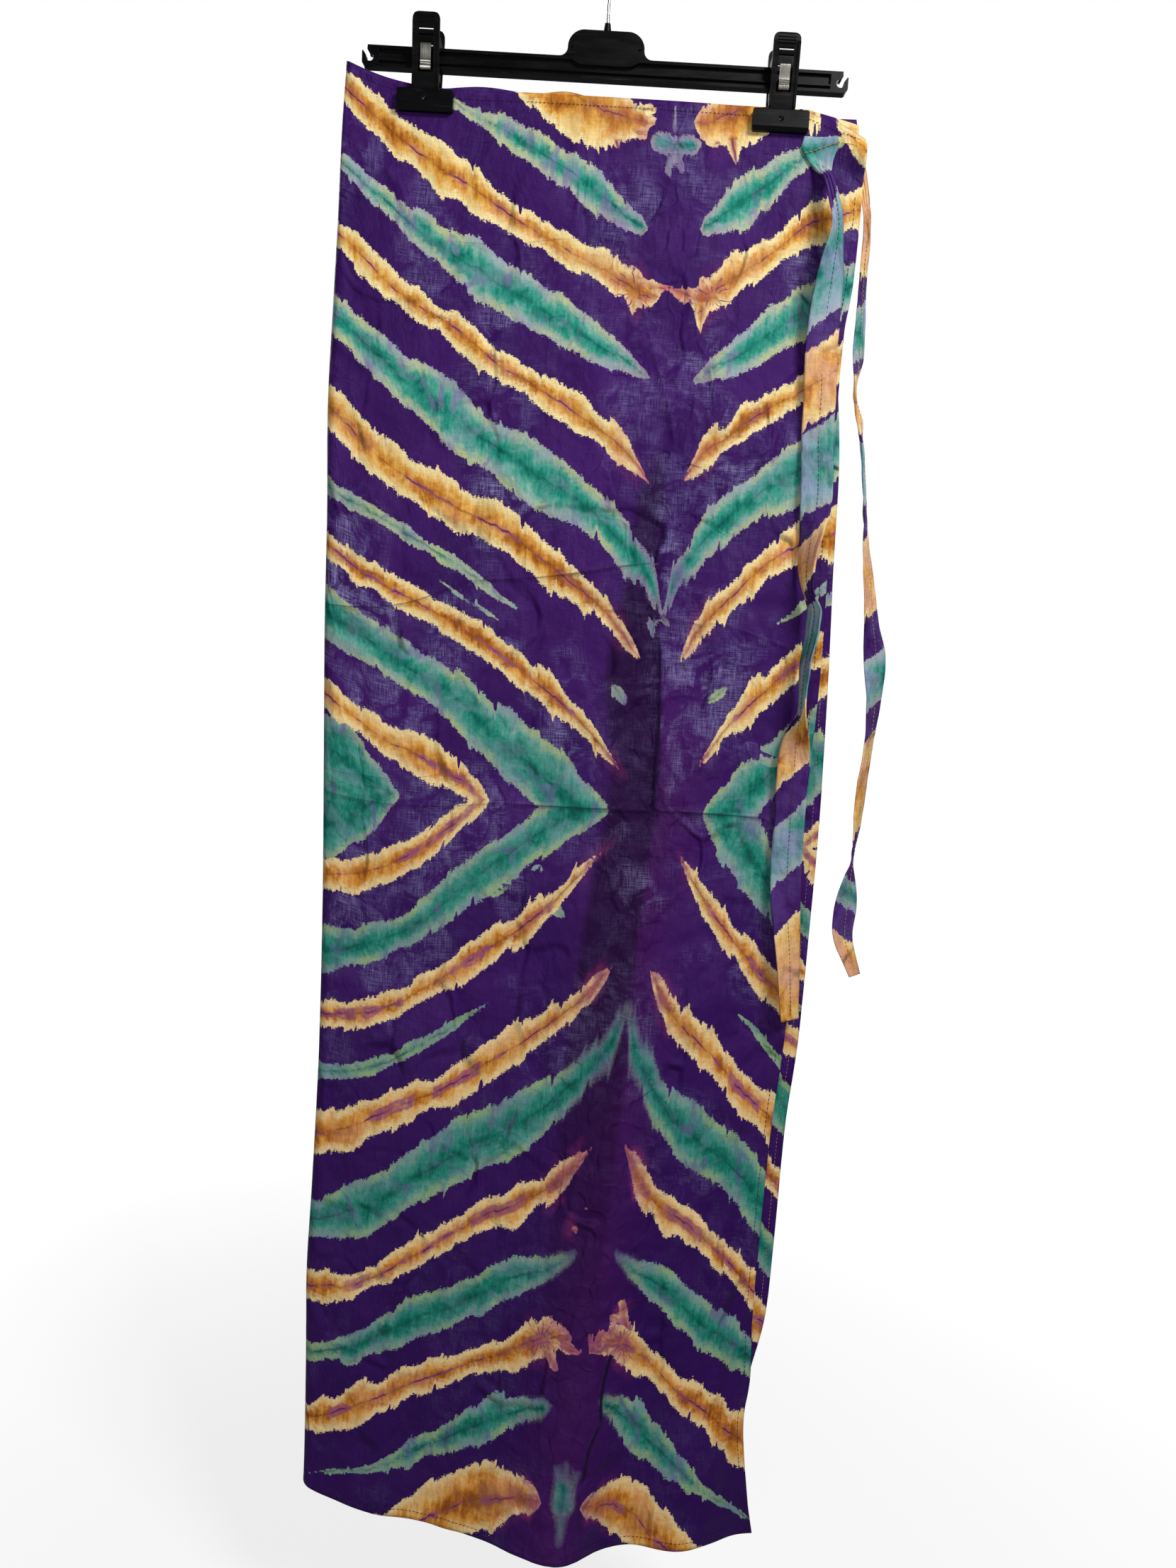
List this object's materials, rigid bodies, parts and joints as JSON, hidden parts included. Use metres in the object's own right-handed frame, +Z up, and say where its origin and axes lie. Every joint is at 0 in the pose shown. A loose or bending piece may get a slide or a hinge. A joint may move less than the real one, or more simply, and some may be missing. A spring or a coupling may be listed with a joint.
{
  "type": "tie-dyed wrap maxi skirt on a clip hanger",
  "caption": "Full-length wrap skirt of tie-dyed cotton with waist ties, folded flat and held by the spring clips of a trouser hanger with a wire hook.",
  "frame": {"origin": "inside top of the hanger's hook, where it sits on a rail", "axes": "+Z up, the front of the skirt faces -Y, +X to the right seen from the front"},
  "size_m": [0.4492, 0.0833, 1.2749],
  "materials": {
    "dyed_cotton": "plain-woven cotton with a slight waxy sheen, deep purple with orange and teal tie-dyed chevron bands",
    "tie_cotton": "folded and stitched strip of the same tie-dyed cotton",
    "black_plastic": "moulded black plastic, satin to glossy",
    "hook_steel": "bright drawn wire",
    "spring_steel": "rolled spring strip, bright on its bends"
  },
  "bodies": {
    "root": {"front_wrap_panel": "dyed_cotton", "under_wrap_panel": "dyed_cotton", "inner_back_panel": "dyed_cotton", "outer_back_panel": "dyed_cotton", "front_tie": "tie_cotton", "back_tie": "tie_cotton", "hanger_bar": "black_plastic", "hook_wire": "hook_steel", "clip_left_front_jaw": "black_plastic", "clip_left_back_jaw": "black_plastic", "clip_left_spring": "spring_steel", "clip_right_front_jaw": "black_plastic", "clip_right_back_jaw": "black_plastic", "clip_right_spring": "spring_steel"}
  },
  "joints": []
}
